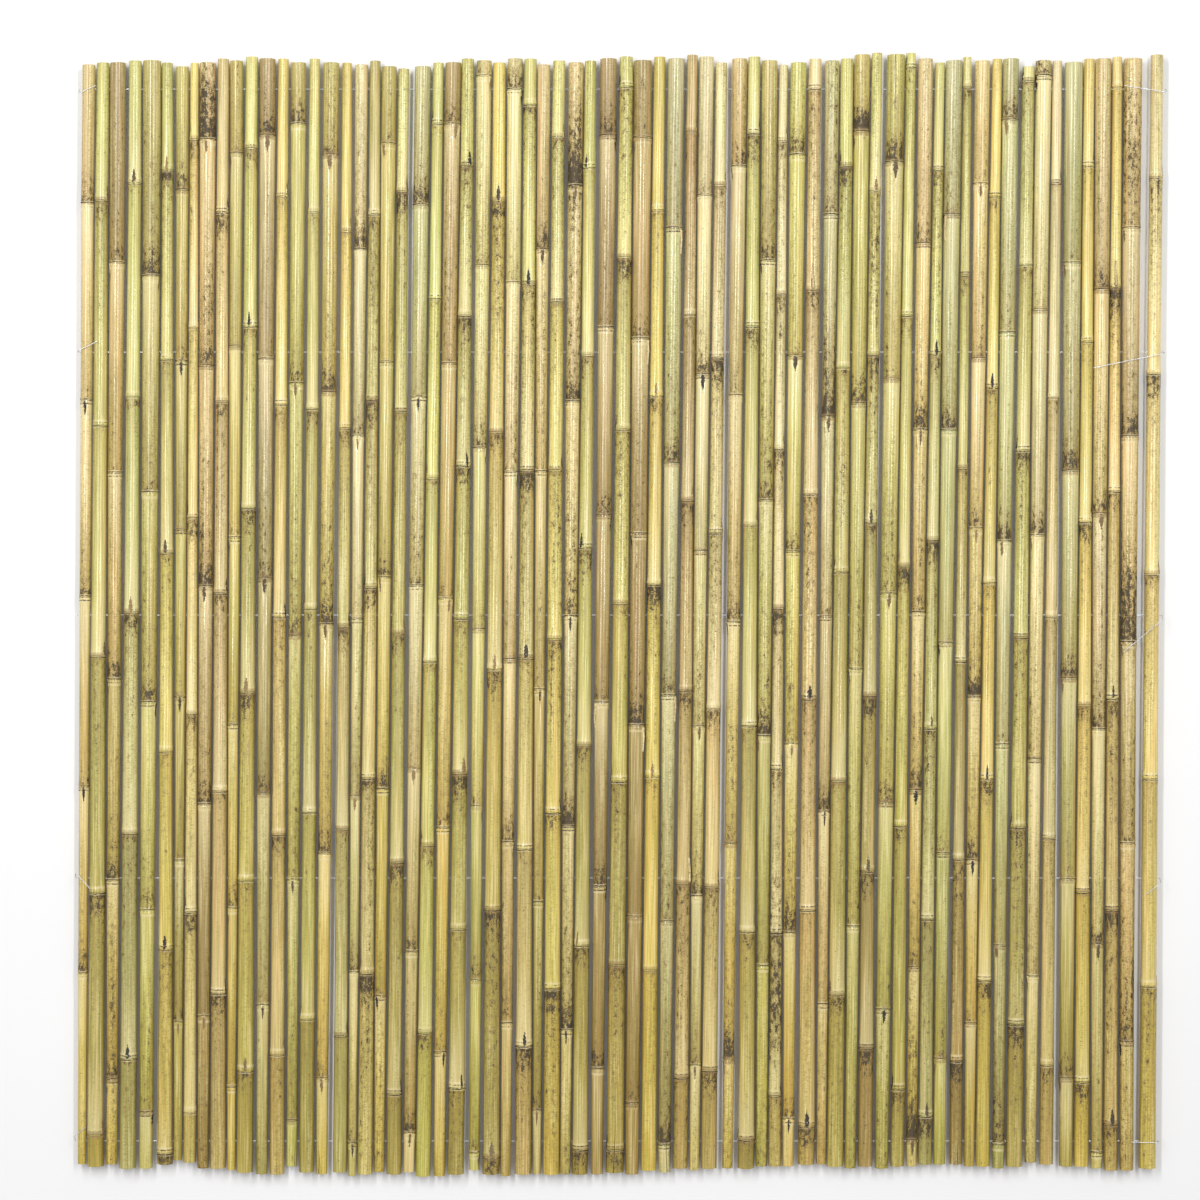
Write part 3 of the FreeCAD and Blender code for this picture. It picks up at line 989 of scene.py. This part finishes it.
def joint_group():
    """Marks round a joint, from the distances to it, the side of its bud and its own look."""
    tree, entry, leave = new_group(
        "Joint marks", ["Joints", "Look", "Grain"], [],
        ["Line", "Ridge", "Pale", "Smudge", "Bud", "Fresh", "Age"])
    past, ahead, facing = split(tree, entry["Joints"])
    dark, brown, dirty = split(tree, entry["Look"])
    grain = entry["Grain"]
    rough = noise(tree, grain, (260, 330, 260), 1.0, 0.6)
    ragged = minus(tree, rough, 0.5)
    shift = times(tree, ragged, 0.0030)
    past_rough = plus(tree, past, shift)
    ahead_rough = plus(tree, ahead, shift)

    def band(value, middle, width):
        away = maths(tree, "ABSOLUTE", minus(tree, value, middle))
        return ramp(tree, away, width * 0.35, width, 1.0, 0.0)

    def oval(wide, long):
        return plus(tree, maths(tree, "POWER", wide, 2.0), maths(tree, "POWER", long, 2.0))

    broken = plus(tree, rough, times(tree, minus(tree, dark, 0.5), 0.45))
    strength = ramp(tree, broken, 0.30, 0.55, 0.62, 1.0)
    line = larger(tree, band(ahead_rough, 0.0002, 0.0021), band(past_rough, 0.0002, 0.0024))
    second = times(tree, band(past_rough, 0.0066, 0.0012), ramp(tree, broken, 0.52, 0.70, 0.0, 0.9))
    ridge_end = ramp(tree, past_rough, 0.0050, 0.0085, 1.0, 0.0)
    ridge = times(tree, ramp(tree, past_rough, 0.0, 0.0015), ridge_end)
    butt = ramp(tree, ahead_rough, 0.0015, 0.0080, 1.0, 0.0)
    browning = ramp(tree, brown, 0.2, 1.0, 0.0, 0.65)
    pale = larger(tree, band(past_rough, 0.0090, 0.0030), band(ahead_rough, 0.0026, 0.0012))
    reach = plus(tree, 0.012, times(tree, dirty, 0.060))
    near = ramp(tree, ahead, 0.0, reach, 1.0, 0.0)
    side = maths(tree, "ARCCOSINE", maths(tree, "MINIMUM", facing, 0.99999))
    across = maths(tree, "DIVIDE", side, ramp(tree, brown, 0.0, 1.0, 0.20, 0.34))
    core_long = maths(tree, "DIVIDE", minus(tree, past, 0.0105), 0.0088)
    tail_across = maths(tree, "DIVIDE", across, ramp(tree, past, 0.010, 0.034, 1.0, 0.10))
    tail_length = plus(tree, 0.011, times(tree, dirty, 0.012))
    tail_long = maths(tree, "DIVIDE", minus(tree, past, 0.015), tail_length)
    shape = maths(tree, "MINIMUM", oval(tail_across, tail_long), oval(across, core_long))
    jagged = plus(tree, shape, times(tree, ragged, 3.0))
    feed_all(tree, leave, {
        "Line": maths(tree, "MULTIPLY", larger(tree, line, second), strength, clamp=True),
        "Ridge": times(tree, larger(tree, ridge, butt), browning),
        "Pale": times(tree, pale, ramp(tree, brown, 0.2, 0.9, 0.5, 0.1)),
        "Smudge": times(tree, near, ramp(tree, dirty, 0.15, 1.0, 0.5, 1.9)),
        "Bud": ramp(tree, jagged, 0.45, 1.10, 1.0, 0.0),
        "Fresh": ramp(tree, past, 0.004, 0.150, 1.0, 0.0),
        "Age": maths(tree, "DIVIDE", past, plus(tree, past, ahead)),
    })
    return tree


def bamboo_skin(fibres, stains, joint_marks):
    """Skin of a cane: its tone, fibres and bloom, the mould, painted shade along its sides, and the
    marks of the joints.
    """
    material, tree, shader, grain, fibre = fibrous_material("bamboo_skin", fibres)
    tone = attribute(tree, "skin_tone", "Color")
    look = attribute(tree, "look")
    # side: how far round to a flank the point lies, which sets the painted shade on the cane's sides.
    stain, shade, side = split(tree, attribute(tree, "stain_and_flank_shade"))
    marks = use_group(tree, joint_marks, Joints=attribute(tree, "joints"), Look=look, Grain=grain)
    age = marks["Age"]
    aged = times(tree, minus(tree, age, 0.5), 1.1)
    patchy = times(tree, minus(tree, fibre["Bands"], 0.5), 3.0)
    grown = plus(tree, plus(tree, stain, aged), plus(tree, marks["Smudge"], patchy))
    amount = maths(tree, "MINIMUM", grown, STAIN_MOST)
    mould = use_group(tree, stains, Grain=grain, Amount=amount)

    greener = blend(tree, 1.0, tone, (0.88, 0.93, 0.69, 1), "MULTIPLY")
    colour = blend(tree, ramp(tree, fibre["Bands"], 0.42, 0.62, 0.0, 0.75), tone, greener)
    warmer = blend(tree, 1.0, colour, (1.06, 0.92, 0.74, 1), "MULTIPLY")
    colour = blend(tree, ramp(tree, fibre["Bands"], 0.46, 0.32, 0.0, 0.6), colour, warmer)
    wide = ramp(tree, fibre["Streaks"], 0.30, 0.68, 0.76, 1.12)
    fine = ramp(tree, fibre["Threads"], 0.30, 0.70, 0.86, 1.10)
    both = times(tree, wide, fine)
    streaked = add_node(tree, "ShaderNodeCombineColor", Red=both, Green=both, Blue=both)
    colour = blend(tree, 1.0, colour, streaked.outputs[0], "MULTIPLY")
    dulled = blend(tree, 1.0, colour, srgb(206, 199, 172), "MULTIPLY")
    colour = blend(tree, times(tree, ramp(tree, age, 0.2, 1.0), 0.55), colour, dulled)
    waxy = ramp(tree, age, 0.9, 0.2, 0.06, 0.38)
    lines = times(tree, ramp(tree, fibre["Streaks"], 0.50, 0.64), waxy)
    fresh = times(tree, marks["Fresh"], ramp(tree, shade, 0.2, 0.95, 0.0, 0.45))
    weathered = ramp(tree, amount, 0.0, 1.4, 0.08, 0.42)
    crazed = times(tree, ramp(tree, fibre["Crazing"], 0.50, 0.66), weathered)
    veil = times(tree, mould["Veil"], ramp(tree, amount, 0.0, 2.0, 0.30, 0.80))
    mouldy = times(tree, mould["Blotches"], ramp(tree, amount, 0.0, 1.8, 0.40, 0.92))
    # Painted shade: dark brown laid over the skin towards the cane's left and right sides, where they
    # turn towards the neighbouring canes.
    painted_edge_shade = ramp(tree, side, 0.78, 1.0, 0.0, 0.50)
    darkness = ramp(tree, split(tree, look)[0], 0.0, 0.8)
    bud_colour = blend(tree, darkness, srgb(142, 116, 74), srgb(30, 24, 20))
    layers = [
        (lines, srgb(240, 229, 186)),
        (fresh, srgb(236, 220, 164)),
        (crazed, srgb(126, 106, 60)),
        (veil, srgb(144, 118, 58)),
        (mouldy, srgb(50, 40, 25)),
        (times(tree, mould["Specks"], 0.75), srgb(50, 40, 26)),
        # painted shade along the cane's sides
        (painted_edge_shade, srgb(96, 78, 44)),
        (marks["Ridge"], srgb(150, 122, 76)),
        (marks["Pale"], srgb(234, 217, 166)),
        (marks["Line"], srgb(40, 28, 20)),
        (marks["Bud"], bud_colour),
    ]
    for mask, over in layers:
        colour = blend(tree, mask, colour, over)

    dull = larger(tree, larger(tree, mould["Blotches"], veil), ramp(tree, age, 0.3, 1.0, 0.0, 0.40))
    rough = ramp(tree, larger(tree, dull, marks["Bud"]), 0.0, 1.0, 0.17, 0.62)
    grooved = ramp(tree, fibre["Streaks"], 0.35, 0.65, 0.08, -0.04)
    roughness = maths(tree, "ADD", rough, grooved, clamp=True)
    finish_surface(tree, shader, colour, roughness, fibre["Streaks"], 0.18, 0.0004)
    shader.inputs["IOR"].default_value = 1.50
    return material


def sawn_bamboo(fibres):
    """Saw cut: pale straw with the dark dots of the fibre bundles."""
    material, tree, shader, grain, fibre = fibrous_material("sawn_bamboo", fibres)
    dots = noise(tree, grain, (1500, 40, 1500), 1.0, 0.5)
    dirt = noise(tree, grain, (160, 160, 160), 3.0, 0.6)
    bundles = ramp(tree, dots, 0.52, 0.62, 0.0, 0.7)
    colour = blend(tree, bundles, srgb(205, 182, 130), srgb(112, 86, 50))
    colour = blend(tree, ramp(tree, dirt, 0.42, 0.70, 0.1, 0.75), colour, srgb(122, 108, 82))
    finish_surface(tree, shader, colour, 0.82, plus(tree, dots, fibre["Crazing"]), 0.6, 0.0003)
    return material


def dry_twig(fibres):
    """Weathered twig stub: pale straw with darker streaks."""
    material, tree, shader, _, fibre = fibrous_material("dry_twig", fibres)
    streaked = ramp(tree, fibre["Streaks"], 0.35, 0.65)
    colour = blend(tree, streaked, srgb(176, 150, 98), srgb(230, 214, 166))
    colour = blend(tree, ramp(tree, fibre["Crazing"], 0.56, 0.70, 0.0, 0.6), colour, srgb(96, 74, 44))
    roughness = ramp(tree, fibre["Streaks"], 0.3, 0.7, 0.75, 0.55)
    finish_surface(tree, shader, colour, roughness, fibre["Streaks"], 0.4, 0.0003)
    return material


def bore_lining(fibres):
    """Papery inside of the cane."""
    material, tree, shader, _, fibre = fibrous_material("bore_lining", fibres)
    streaked = ramp(tree, fibre["Streaks"], 0.3, 0.7)
    colour = blend(tree, streaked, srgb(168, 146, 104), srgb(126, 106, 70))
    finish_surface(tree, shader, colour, 0.88, fibre["Streaks"], 0.3, 0.0002)
    return material


def galvanised_wire():
    """Zinc-coated drawn wire: silver grey with spangle and white bloom."""
    material, tree, shader = new_material("galvanised_wire")
    place = tree.nodes.new("ShaderNodeTexCoord").outputs["Object"]
    spangle = noise(tree, place, (900, 900, 900), 1.0, 0.5)
    bloom = noise(tree, place, (160, 160, 160), 3.0, 0.6)
    flakes = ramp(tree, spangle, 0.35, 0.65)
    colour = blend(tree, flakes, srgb(176, 178, 180), srgb(208, 210, 212))
    colour = blend(tree, ramp(tree, bloom, 0.52, 0.70, 0.0, 0.7), colour, srgb(226, 227, 226))
    feed(tree, shader.inputs["Metallic"], ramp(tree, bloom, 0.52, 0.72, 0.95, 0.35))
    roughness = ramp(tree, bloom, 0.45, 0.7, 0.30, 0.58)
    finish_surface(tree, shader, colour, roughness, spangle, 0.25, 0.0001)
    return material


def seen_or_mirrored(tree):
    """One for rays from the camera, and for those that metal or glass sends on, else nought."""
    rays = tree.nodes.new("ShaderNodeLightPath").outputs
    mirrored = larger(tree, rays["Is Glossy Ray"], rays["Is Transmission Ray"])
    return larger(tree, rays["Is Camera Ray"], mirrored)


def pale_floor():
    """Pale floor that fades into the pale world where the lamps no longer reach it."""
    material, tree, shader = new_material("pale_floor")
    place = tree.nodes.new("ShaderNodeTexCoord").outputs["Object"]
    cloud = noise(tree, place, (1.3, 1.3, 1.3), 2.0, 0.5)
    colour = blend(tree, cloud, srgb(241, 241, 242), srgb(245, 245, 245))
    feed_all(tree, shader, {"Base Color": colour, "Roughness": 0.85})
    length = add_node(tree, "ShaderNodeVectorMath", {"operation": "LENGTH"}, Vector=place)
    fade = ramp(tree, length.outputs["Value"], FADE_FROM, FADE_TO, FLOOR_GLOW, 1.0)
    glow = add_node(tree, "ShaderNodeEmission", Strength=WORLD_SEEN)
    mixed = tree.nodes.new("ShaderNodeMixShader")
    feed(tree, mixed.inputs[0], times(tree, fade, seen_or_mirrored(tree)))
    feed(tree, mixed.inputs[1], shader.outputs[0])
    feed(tree, mixed.inputs[2], glow.outputs[0])
    feed(tree, tree.nodes["Material Output"].inputs["Surface"], mixed.outputs[0])
    # The glow is there to be seen and lights nothing, so it isn't sampled as a lamp.
    material.cycles.emission_sampling = "NONE"
    return material


# Stage, lights and camera.

METRES_PER_PIXEL = 0.00162
PHOTO_SIDE = 1200
OBJECT_MIDDLE_PIXEL = (620.5, 614.5)
CAMERA_HEIGHT = 4.6
SENSOR = 36.0
# What the world gives as light, and how bright it looks where it is seen.
WORLD_FILL = 0.41
WORLD_SEEN = 0.93
# Side of the floor, its glow at the screen, and between which distances it fades out.
FLOOR_SIDE = 12.0
FLOOR_GLOW = 0.04
FADE_FROM = 1.35
FADE_TO = 2.8
# Long softboxes over both sides: name, place, width and length, power.
LAMPS = [
    ("left_strip", (-1.70, 1.30, 3.9), (0.38, 3.4), 104),
    ("right_strip", (1.40, 1.30, 3.9), (0.34, 3.4), 80),
]


def add_floor():
    deselect_all()
    bpy.ops.mesh.primitive_plane_add(size=FLOOR_SIDE, location=(0, 0, 0))
    floor = bpy.context.object
    floor.name = "floor"
    floor.data.materials.append(pale_floor())


def add_lamp(name, place, size, power):
    """A softbox that faces the middle of the screen."""
    data = bpy.data.lights.new(name, "AREA")
    data.shape = "RECTANGLE"
    data.size, data.size_y = size
    data.energy = power
    lamp = bpy.data.objects.new(name, data)
    lamp.location = place
    x, y, z = place
    lamp.rotation_euler = (math.atan2(-y, math.hypot(x, z)), math.atan2(x, z), 0)
    lamp.visible_camera = False
    bpy.context.scene.collection.objects.link(lamp)


def add_world():
    world = bpy.data.worlds.new("studio")
    bpy.context.scene.world = world
    world.use_nodes = True
    tree = world.node_tree
    back = tree.nodes["Background"]
    back.inputs["Color"].default_value = (1.0, 1.0, 1.0, 1.0)
    strength = ramp(tree, seen_or_mirrored(tree), 0.0, 1.0, WORLD_FILL, WORLD_SEEN)
    feed(tree, back.inputs["Strength"], strength)


def add_camera():
    """Looks straight down at the screen, framed as the photograph is."""
    data = bpy.data.cameras.new("camera")
    data.sensor_width = SENSOR
    data.lens = SENSOR * CAMERA_HEIGHT / (METRES_PER_PIXEL * PHOTO_SIDE)
    data.clip_end = 50
    camera = bpy.data.objects.new("camera", data)
    right = (PHOTO_SIDE / 2 - OBJECT_MIDDLE_PIXEL[0]) * METRES_PER_PIXEL
    up = (OBJECT_MIDDLE_PIXEL[1] - PHOTO_SIDE / 2) * METRES_PER_PIXEL
    camera.location = (right, up, CAD_BOX[1][2] + CAMERA_HEIGHT)
    bpy.context.scene.collection.objects.link(camera)
    bpy.context.scene.camera = camera


def main():
    fibres = fibre_group()
    stains = stain_group()
    joint_marks = joint_group()
    skin = bamboo_skin(fibres, stains, joint_marks)
    cut = sawn_bamboo(fibres)
    bore = bore_lining(fibres)
    masters = {
        "internode": make_internode(),
        "bud": make_joint("bud"),
        "twig_scar": make_joint("twig_scar"),
        "sawn_end": make_sawn_end(skin, cut, bore),
        "twig_stub": make_twig_stub(dry_twig(fibres), cut),
        "split_cutter": make_split_cutter(bore),
    }
    for name in ("internode", "bud", "twig_scar"):
        masters[name].data.materials.append(skin)
    lines = wire_lines()
    drills = make_drills(lines, cut)
    for cane in read_canes():
        piece = build_cane(cane, masters, drills, lines)
        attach(piece, "root")
        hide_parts(cane.node)
    for master in list(masters.values()) + [drills]:
        bpy.data.objects.remove(master)

    zinc = galvanised_wire()
    for name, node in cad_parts.items():
        if name.startswith("wire_"):
            node.data.materials.clear()
            node.data.materials.append(zinc)

    add_floor()
    for lamp in LAMPS:
        add_lamp(*lamp)
    add_world()
    add_camera()
    bpy.context.scene.view_settings.view_transform = "Standard"


main()
